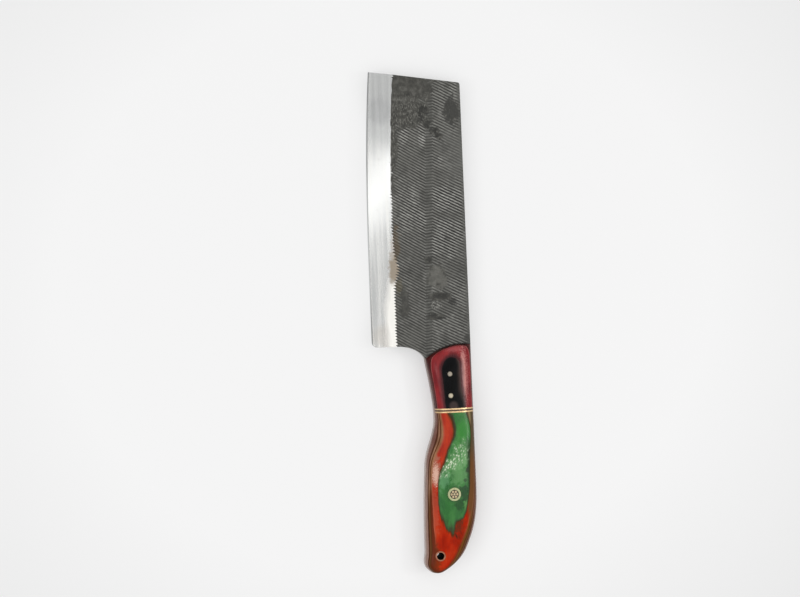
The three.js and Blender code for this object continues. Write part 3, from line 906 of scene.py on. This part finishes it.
def file_steel():
    """Dark forge scale on the file's cuts: black in the valleys, bright along the crests where it wore off.
    """
    steel = Shader("file_steel")
    wear = steel.cloud(75, 3)
    strokes = steel.cloud(800, 3, (0.4, 1.2, 1))
    gouges = steel.cloud(610, 3, (0.35, 1.3, 1))
    fine = steel.cloud(2600, 3)
    patchy = steel.spread(steel.cloud(130, 3), -0.3, 0.3)
    wear_stain_and_sheen = steel.level(wear, 0.35, 0.65, 0.12, 0.4)
    for spot in WORN_SPOTS:
        wear_stain_and_sheen = steel.math("MAXIMUM", wear_stain_and_sheen, steel.spot(*spot, patchy))
    glint = steel.times(steel.level(strokes, 0.3, 0.66, 0.25, 1), wear_stain_and_sheen)
    crest = steel.mix(glint, (97, 97, 92), (182, 181, 175))
    cut = steel.shades(fine, (48, 48, 45), (66, 65, 61))
    gouged = steel.times(steel.level(gouges, 0.34, 0.58, 0.45, 1), wear_stain_and_sheen)
    cut = steel.mix(gouged, cut, (9, 9, 8))
    steel.color = steel.mix(steel.level("tooth_depth", 0.06, 0.5, 0, 1), crest, cut)
    steel.paint_spot((94, 94, 90), -7, 116, 9, 17, 0.45, patchy)
    mottle = steel.cloud(330, 5, (1, 1, 1), 0.65)
    flecks = steel.cloud(1100, 4, (1.2, 0.5, 1), 0.6)
    scale = steel.shades(mottle, (44, 44, 40), (66, 65, 60), (92, 91, 86), places=(0.32, 0.5, 0.68))
    steel.paint((30, 30, 28), ("Y", 90, 45, 0.18))
    steel.paint((50, 50, 46), steel.level(steel.cloud(120, 5, (1, 1, 1), 0.6), 0.52, 0.66, 0, 0.4))
    towards_tip = steel.level(steel.place("Y", 60, 110), 0, 1, 0.3, 1)
    rough = steel.times(steel.place("Y", 155, 148), towards_tip)
    pale = steel.times(steel.level(flecks, 0.53, 0.68, 0, 0.75), rough)
    black = steel.times(steel.level(flecks, 0.47, 0.34, 0, 0.7), rough)
    scale = steel.mix(black, steel.mix(pale, scale, (132, 131, 124)), (32, 32, 29))
    steel.paint(scale, steel.level("forged", 0, 1, 0, 0.92))
    torn = steel.spread(steel.cloud(420, 5, (1, 1, 1), 0.7), -0.75, 0.75)
    for spot in SMOOTH_SPOTS:
        steel.paint_spot((50, 50, 47), *spot, torn)
    for spot in TORN_SPOTS:
        steel.paint_spot((30, 30, 27), *spot, 0.75, torn)
    steel.paint_spot((116, 115, 109), -18.8, 41, 6.4, 9, 0.35, torn)
    chipped = steel.spot(-20.3, 24.3, 4.4, 2.4, 1.0, torn)
    steel.paint((158, 157, 150), chipped, steel.level(flecks, 0.48, 0.62, 0, 0.9))
    steel.paint_spot((92, 70, 40), -43.6, 62, 2.8, 11, 0.4, torn)
    steel.paint_spot((92, 82, 56), -43, 37, 2.4, 5, 0.35, torn)
    steel.set(Metallic=0.45, Roughness=steel.spread(wear, 0.42, 0.54))
    steel.bump(fine, 0.3, 0.04)
    return steel.material


def ground_bevel():
    """Bright ground steel with lengthwise lines, stained at the dip, with its reflection painted along it.
    """
    steel = Shader("ground_bevel")
    streaks = steel.cloud(420, 4, (1, 0.03, 1))
    haze = steel.cloud(60, 2, (1, 0.5, 1))
    ragged = steel.spread(haze, -0.2, 0.2)
    steel.color = steel.shades(streaks, (224, 225, 224), (242, 242, 239))
    # Painted reflection: darker towards the tip and at its corner, warmer at the heel.
    steel.paint_spots(
        ((209, 210, 209), -52, BLADE_LENGTH - 14, 40, 40, 0.9, ragged),
        ((190, 191, 191), -51, 143, 12, 9, 0.5, ragged),
        ((220, 212, 202), -52, 6, 10, 8, 0.45, ragged),
    )
    # Painted highlight: a bright band near the heel, made less metallic.
    bright = steel.spot(-43.6, 12, 8, 36, 1.0, ragged)
    steel.paint((254, 252, 246), bright)
    specks = steel.level(steel.cloud(700, 2), 0.72, 0.75, 0, 0.6)
    steel.paint((140, 132, 124), specks)
    speckle = steel.level(steel.cloud(420, 4), 0.35, 0.7, -0.3, 0.3)
    steel.paint_spot((224, 208, 194), -43.5, 54, 3.4, 14, 0.5, speckle)
    paint_spot = steel.spot(-44.6, 46.5, 3.6, 10.5, 1.0, speckle)
    steel.paint((160, 148, 132), paint_spot)
    matte = steel.math("MAXIMUM", paint_spot, bright)
    metallic = steel.level(matte, 0, 1, 1.0, 0.1)
    return steel.dress(streaks, (0.1, 0.17), (0.06, 0.02), Metallic=metallic)


def honed_edge():
    """The narrow honed bevel along the edge."""
    steel = Shader("honed_edge")
    streaks = steel.cloud(900, 3, (1, 0.1, 1))
    steel.color = steel.shades(streaks, (122, 123, 123), (150, 151, 150))
    steel.paint((180, 181, 180), ("Y", 112, 88, 0.6))
    steel.paint((104, 104, 102), ("Y", 36, 12, 0.7))
    return steel.dress(streaks, (0.3, 0.4), (0.1, 0.02), Metallic=0.4)


def brushed_steel(name, dark, light, metallic, roughness):
    """Bare steel with lengthwise streaks, browner towards the handle's front, and the streaks."""
    steel = Shader(name)
    streaks = steel.cloud(700, 4, (1, 0.15, 1))
    steel.color = steel.shades(streaks, dark, light)
    steel.paint((112, 86, 82), ("Y", -42, -32, 0.5))
    steel.dress(streaks, (roughness, roughness + 0.14), (0.2, 0.04), Metallic=metallic)
    return steel, streaks


def tang_face():
    """The tang's flat faces, a rim beside the scales: browner at the back as painted shade, dark at the
    front edge.
    """
    # The mauve tint is a painted reflection of the red scales.
    steel, _ = brushed_steel("tang_face", (160, 145, 139), (192, 177, 170), 0.3, 0.4)
    steel.paint((112, 84, 74), steel.level("back", 0.6, 0.9, 0, 0.85))
    steel.paint((24, 22, 20), steel.level("from_front", 0.4, 0.8, 0.95, 0))
    return steel.material


def edge_steel():
    """Upright faces: neutral steel on blade and back, mauve on the tang's finger side as painted
    reflection.
    """
    steel, streaks = brushed_steel("edge_steel", (164, 150, 145), (200, 188, 182), 0.35, 0.36)
    spine = steel.shades(streaks, (156, 155, 152), (192, 191, 188))
    on_blade = steel.level("from_front", 0, 1, 1, 0)
    steel.paint(spine, steel.math("MAXIMUM", steel.attribute("back"), on_blade))
    return steel.material


def dyed_wood(name, dark, main, pale, shine=0.25):
    """Dyed veneer under a satin lacquer: blotches of dye, streaks of grain and short pores."""
    wood = Shader(name)
    grain = wood.cloud(1000, 5, (1, 0.08, 1))
    dye = wood.cloud(170, 4, (1, 0.45, 1))
    pores = wood.cloud(3600, 2, (1, 0.05, 1))
    wood.color = wood.shades(dye, dark, main, pale, places=(0.32, 0.5, 0.7))
    wood.paint(dark, wood.level(grain, 0.42, 0.7, 0.0, 0.4))
    wood.paint(dark, wood.level(pores, 0.62, 0.74, 0.0, 0.4))
    wood.dress(grain, (0.2, 0.32), (0.12, 0.05), Specular_IOR_Level=shine)
    return wood


def make_front_woods():
    maroon = dyed_wood("front_maroon_wood", (52, 16, 15), (82, 31, 28), (98, 42, 39), 0.1)
    red = dyed_wood("front_red_wood", (106, 24, 30), (138, 36, 40), (162, 48, 50), 0.16)
    # Painted highlight: a pale pink line along the red sheet's bottom.
    red.seam("from_bottom", 0.2, (176, 108, 104), 0.6)
    # Painted highlights: a pink streak with a paler core down the right flank, and pink over the front
    # roll's top; the third spot is dark staining.
    ragged_highlight = red.spread(red.cloud(1500, 4), -0.4, 0.4)
    red.paint_spots(
        ((190, 118, 114), -6.2, -19, 3.1, 19, 0.55, ragged_highlight),
        ((222, 160, 152), -6.4, -20, 1.5, 17, 0.6, ragged_highlight),
        ((84, 26, 28), -12.6, -6, 3.4, 3.2, 0.4),
        ((178, 94, 96), -11, -2.6, 8, 2, 0.45, ragged_highlight),
    )
    red.seam("to_top", 0.45, (52, 14, 20), 0.9, 0.3)
    black = dyed_wood("front_black_wood", (8, 8, 8), (11, 12, 14), (20, 20, 22), 0.06)
    black.seam("from_bottom", 0.06, (48, 24, 26), 0.7)
    # Painted sheen: greyish brown near the black sheet's bottom border, on its back side.
    painted_sheen = black.level("from_bottom", 0, 0.4, 0.6, 0)
    black.paint((92, 72, 66), painted_sheen, ("X", -11.5, -9))
    black.paint_spot((84, 70, 68), -13.5, -37, 3, 3.2, 0.55)
    for wood in (maroon, red):
        wood.seam("from_front", 0.5, (16, 8, 8), 0.95, 0.2)


def make_rear_woods():
    maroon = dyed_wood("rear_maroon_wood", (102, 66, 56), (130, 92, 80), (146, 110, 98), 0.12)
    maroon.paint((156, 124, 112), ("Y", -64, -80))
    # Painted shade: browner on the back flank.
    maroon.paint((134, 96, 78), ("X", -13, -9))
    maroon.seam("to_top", 0.3, (78, 34, 18), 0.9)
    brown = dyed_wood("rear_brown_wood", (124, 88, 64), (160, 118, 92), (176, 134, 108), 0.06)
    gold = dyed_wood("rear_gold_wood", (128, 86, 58), (156, 108, 76), (176, 126, 94), 0.06)
    orange = dyed_wood("rear_orange_wood", (142, 24, 2), (176, 36, 4), (194, 56, 16), 0.06)
    # Painted highlight: a pale salmon line along the orange sheet's bottom.
    orange.seam("from_bottom", 0.25, (170, 96, 70), 0.7, 0.3)
    wear_stain_and_sheen = orange.spread(orange.cloud(500, 3), -0.4, 0.4)
    # Painted highlights on the left flank: salmon and pinkish-brown patches with pale sparkles, and a faint
    # pale sheen over the front part.
    orange.paint_spot((180, 88, 64), -27.8, -98, 3.4, 16, 0.45, wear_stain_and_sheen)
    orange.paint_spot((166, 112, 90), -26.6, -74, 4, 9, 0.75, wear_stain_and_sheen)
    sparkle_grain = orange.spread(orange.cloud(1900, 3), -0.6, 0.6)
    orange.paint_spot((228, 186, 166), -26, -78, 2.2, 6.5, 0.85, sparkle_grain)
    orange.paint((196, 156, 146), ("Y", -82, -64, 0.05))
    for wood, shade in ((brown, (104, 66, 36)), (gold, (112, 70, 24))):
        wood.paint(shade, ("Y", -84, -98))
    for wood, shade in ((orange, (110, 72, 40)), (gold, (120, 80, 52)), (brown, (126, 84, 64))):
        back = (("X", -8.2, -6.4), ("Y", -108, -100))
        wood.paint(shade, *back)
        wood.paint((90, 75, 52), *back, ("Y", -72, -60))
        wood.paint_spot((154, 134, 98), -4, -44, 1.1, 5.5, 0.7)
    gold.paint((104, 40, 16), ("Y", -80, -92), ("X", -20, -24))
    orange.paint_spot((118, 34, 12), -12, -112, 5, 9, 0.35, wear_stain_and_sheen)
    orange.paint_spot((88, 44, 22), -13.6, -108.5, 3.2, 4.6, 0.75, wear_stain_and_sheen)
    orange.paint((78, 32, 14), orange.spot(-13.5, -113, 4, 9), orange.dabs(420, (1.6, 0.5, 0.2), 0.4))
    orange.paint_spot((98, 46, 10), -28.5, -128, 4, 8, 0.7, wear_stain_and_sheen)
    rim = orange.level("from_bottom", 0.15, 0.8, 0.85, 0)
    orange.paint((96, 38, 12), rim, ("Y", -112, -122))
    brown.seam("from_bottom", 0.45, (66, 30, 12), 0.9)
    gold.seam("from_bottom", 0.4, (84, 46, 22), 0.9)
    stained = orange.level("to_top", 0.1, 0.4, 0.7, 0)
    orange.paint((84, 54, 24), stained, ("Y", -84, -72))
    orange.seam("to_top", 0.1, (66, 44, 18), 0.9, 0.08)


# Painted highlight in pale specks, in a band across the green sheet's top: places, radii and strengths
HIGHLIGHT_SPECKS = (
    (-10.4, -65, 4, 6.5, 0.75), (-13.6, -69, 4, 4.5, 0.75),
    (-16.6, -71.5, 4, 3.8, 0.9), (-21.3, -76, 4, 4, 0.9),
)


def make_green_wood():
    """The green sheet, stained in spots, with a painted highlight of pale specks in a band across its top.
    """
    wood = dyed_wood("rear_green_wood", (30, 90, 38), (50, 116, 50), (72, 138, 66))
    ragged = wood.spread(wood.cloud(400, 4), -0.5, 0.5)
    # The second to fourth spots are painted highlight: pale green over the band and near the back edge.
    wood.paint_spots(
        ((52, 134, 46), -8.3, -51.7, 4, 7, 0.7),
        ((112, 162, 104), -12, -78, 6.5, 9, 0.4, ragged),
        ((104, 162, 112), -21.5, -81.5, 4, 6.5, 0.5, ragged),
        ((120, 172, 110), -8, -66, 2.2, 8, 0.35, ragged),
        ((36, 100, 38), -17, -104, 9, 12, 0.4),
        ((20, 40, 16), -6.2, -75.5, 1.8, 2.6, 0.85, ragged),
        ((20, 48, 20), -8.3, -82, 1.3, 1.3, 0.7),
        ((98, 150, 78), -7.7, -96.5, 2, 7, 0.7),
        ((14, 58, 22), -9, -90, 3.6, 6, 0.85, ragged),
        ((18, 68, 22), -12, -96, 3.4, 4.6, 0.8, ragged),
        ((34, 66, 30), -MOSAIC_LINE, -MOSAIC_PLACE, 5.6, 5.6, 0.7),
    )
    wood.paint((30, 44, 12), ("Y", -96, -88), ("Y", -56, -64), ("X", -7.4, -5.6))
    low = wood.level("from_bottom", 0.1, 0.26, 0.95, 0)
    wood.paint((50, 40, 18), ("Y", -64, -54), ("X", -10, -12.5), low)
    wood.seam("from_bottom", 0.18, (44, 46, 18), 0.9, 0.12)
    patchy = wood.spread(wood.cloud(300, 4, (1, 1, 1), 0.6), -0.5, 0.5)
    dabs = wood.dabs(980, (1.6, 0.6, 0.2), -0.35)
    # Painted highlight: a pale green wash and bright specks over the band.
    for x, y, wide, long, strength in HIGHLIGHT_SPECKS:
        wood.paint_spot((132, 178, 122), x, y, wide + 1.5, long + 1.5, 0.2 * strength, patchy)
    for spot in HIGHLIGHT_SPECKS:
        wood.paint((222, 234, 206), wood.spot(*spot, patchy), dabs)


def satin_metal(name, dark, light, metallic, roughness, paint_spots=()):
    metal = Shader(name)
    haze = metal.cloud(900, 4)
    metal.color = metal.shades(haze, dark, light)
    metal.set(Base_Color=metal.color, Metallic=metallic)
    metal.paint_spots(*paint_spots)
    return metal.dress(haze, (roughness, roughness + 0.12), (0.15, 0.03))


def filler(name, dark, light, roughness, shine=0.5):
    shader = Shader(name)
    haze = shader.cloud(1500, 3)
    shader.set(Base_Color=shader.shades(haze, dark, light), Specular_IOR_Level=shine)
    return shader.dress(haze, (roughness, roughness + 0.15), (0.12, 0.02))


def all_metals():
    """The metals and fillers by name. The front pins are dark round bright faces."""
    tones = ((152, 142, 128), (178, 168, 146))
    faces = [(tone, -PIN_LINE, -place, 1.55, 1.55) for tone, place in zip(tones, FRONT_PIN_PLACES)]
    return {
        "pin": satin_metal("pin_brass", (62, 56, 44), (80, 74, 58), 0.5, 0.3, faces),
        "brass": satin_metal("rod_brass", (176, 162, 128), (198, 184, 150), 0.5, 0.3),
        "spacer": satin_metal("spacer_brass", (204, 166, 118), (226, 196, 152), 0.6, 0.26),
        "ring": satin_metal("ring_brass", (158, 162, 118), (182, 184, 142), 0.5, 0.3),
        "copper": satin_metal("rod_copper", (172, 150, 116), (198, 178, 142), 0.5, 0.3),
        "dull": satin_metal("dull_copper", (132, 76, 50), (172, 116, 88), 0.4, 0.34),
        # Dark patina in the lanyard bore, painted near-black as the shade inside it.
        "patina_and_shade": filler("bore_patina_and_shade", (10, 5, 3), (22, 11, 6), 0.8, 0.05),
        "resin": filler("dark_resin", (46, 38, 20), (74, 64, 36), 0.25),
        "fibre": filler("fibre_spacer", (48, 28, 14), (88, 58, 30), 0.4),
    }


# Stage: a pale floor, a soft studio and the photograph's camera

CAMERA_PLACE = (-208.4, 20, 1000)
CAMERA_TARGET = (-41.94, 29.17, 0)
CAMERA_ROLL = 0.0423
FOCAL_PIXELS = 1672
PHOTO_WIDTH = 800

# The studio's brightness by the height of a direction, from the horizon to straight up: as it lights,
# and as glossy surfaces show it, with the pale background low down
STUDIO_LIGHT = (
    (0.0, 0.2), (0.3, 0.24), (0.5, 0.38), (0.71, 0.75),
    (0.82, 1.42), (0.966, 1.42), (0.978, 0.64), (1.0, 0.64),
)
STUDIO_REFLECTION = (
    (0.0, 0.86), (0.6, 0.86), (0.82, 1.42), (0.966, 1.42), (0.978, 0.64), (1.0, 0.64),
)
BACKGROUND = 0.86
FLOOR_GLOW = 0.82
MIDDLE_GLOW = 0.91
GLOW_SHARE = 0.5
# Where the glow's share is larger or smaller than that, as places, radii and changes of the share
FLOOR_SHADES = ((-72, 84, 32, 110, 0.38), (8, -85, 24, 62, -0.35))


def make_floor():
    """A pale paper floor, which the camera and glossy surfaces see mixed with a glow."""
    size = 8
    corners = [(-size, -size, 0), (size, -size, 0), (size, size, 0), (-size, size, 0)]
    floor = mesh_object("floor", corners, [(0, 1, 2, 3)])
    paper = Shader("floor_paper")
    shade = paper.cloud(3, 2)
    paper.color = paper.shades(shade, (233, 233, 233), (234, 234, 234))
    # Painted light: the paper and its glow brighter in the middle, dimmer towards the corners.
    middle = paper.spot(-42, 40, 340, 300)
    paper.paint((248, 248, 248), middle)
    paper.set(Roughness=0.85, Specular_IOR_Level=0.1)
    path = paper.add("LightPath").outputs
    seen = paper.math("MAXIMUM", path["Is Camera Ray"], path["Is Glossy Ray"])
    brightness = paper.level(middle, 0, 1, FLOOR_GLOW, MIDDLE_GLOW)
    glow = paper.add("Emission", {"Color": brightness})
    share = paper.spread(shade, GLOW_SHARE - 0.01, GLOW_SHARE + 0.01)
    for spot in FLOOR_SHADES:
        share = paper.math("ADD", share, paper.spot(*spot))
    inputs = {"Fac": paper.times(seen, share), 1: paper.surface.outputs[0], 2: glow.outputs[0]}
    shown = paper.add("MixShader", inputs)
    paper.put(paper.tree.nodes["Material Output"].inputs["Surface"], shown.outputs[0])
    floor.data.materials.append(paper.material)
    floor.location.z = cad_low.z


def make_world():
    world = bpy.data.worlds.new("studio")
    world.use_nodes = True
    bpy.context.scene.world = world
    nodes = Nodes(world.node_tree)
    direction = nodes.add("TexCoord").outputs["Generated"]
    height = nodes.add("SeparateXYZ", {0: direction}).outputs["Z"]
    path = nodes.add("LightPath").outputs

    def sky(stops):
        color = nodes.ramp(height, *((place, (light, light, light, 1)) for place, light in stops))
        return nodes.add("Background", {"Color": color}).outputs[0]

    backdrop = nodes.tree.nodes["Background"]
    backdrop.inputs["Color"].default_value = (BACKGROUND, BACKGROUND, BACKGROUND, 1)
    reflection = sky(STUDIO_REFLECTION)
    light = sky(STUDIO_LIGHT)
    rays = (("Glossy", reflection), ("Transmission", reflection), ("Camera", backdrop.outputs[0]))
    for ray, shown in rays:
        light = nodes.add("MixShader", {"Fac": path[f"Is {ray} Ray"], 1: light, 2: shown}).outputs[0]
    nodes.put(nodes.tree.nodes["World Output"].inputs["Surface"], light)


def softbox(name, place, aim, width, height, radiance):
    """A rectangular lamp, in the knife's own frame, that shines evenly with a given radiance."""
    lamp = bpy.data.lights.new(name, "AREA")
    lamp.shape = "RECTANGLE"
    lamp.size = width * MM
    lamp.size_y = height * MM
    lamp.energy = radiance * math.pi * lamp.size * lamp.size_y
    made = bpy.data.objects.new(name, lamp)
    bpy.context.scene.collection.objects.link(made)
    start = TO_FRAME @ Vector(place)
    made.location = start
    made.rotation_euler = (TO_FRAME @ Vector(aim) - start).to_track_quat("-Z", "Y").to_euler()


def make_camera():
    place = TO_FRAME @ Vector(CAMERA_PLACE)
    ahead = (TO_FRAME @ Vector(CAMERA_TARGET) - place).normalized()
    right = ahead.cross(Vector((math.sin(CAMERA_ROLL), math.cos(CAMERA_ROLL), 0))).normalized()
    up = right.cross(ahead)
    camera = bpy.data.objects.new("camera", bpy.data.cameras.new("camera"))
    bpy.context.scene.collection.objects.link(camera)
    turn = Matrix((right, up, -ahead)).transposed()
    camera.matrix_world = Matrix.Translation(place) @ turn.to_4x4()
    camera.data.sensor_width = 36
    camera.data.lens = camera.data.sensor_width * FOCAL_PIXELS / PHOTO_WIDTH
    camera.data.clip_end = 100
    bpy.context.scene.camera = camera


def make_stage():
    make_camera()
    make_floor()
    make_world()
    softbox("overhead", (-150, 193, 1200), (-50, 90, 0), 240, 56, 1.1)
    softbox("palm_strip", (-17, -104, 1200), (-17, -70, 0), 1600, 60, 2)
    softbox("right_soft", (700, -40, 850), (-7, -20, 10), 200, 130, 13)
    softbox("left_soft", (-820, -40, 850), (-20, -40, 5), 300, 260, 4)
    bpy.context.scene.view_settings.view_transform = "Standard"


# Assembly
make_stage()
metals = all_metals()
make_front_woods()
make_rear_woods()
make_green_wood()
bores = holes()
make_blade(bores, [file_steel(), ground_bevel(), edge_steel(), honed_edge(), tang_face()])
surface = handle_surface()
handle = solid_between("handle", surface, flipped(surface))
for side in ("left", "right"):
    make_veneers(handle, bores, side, "front", -SPACERS[0][1], FRONT_BOW + BEYOND, FRONT_SHEETS)
    make_veneers(handle, bores, side, "rear", -HANDLE_LENGTH - BEYOND, -SPACERS[-1][2], REAR_SHEETS)
    make_spacers(handle, side, metals)
make_pins(handle, metals)
make_mosaic_pin(handle, metals)
discard(handle, *bores)
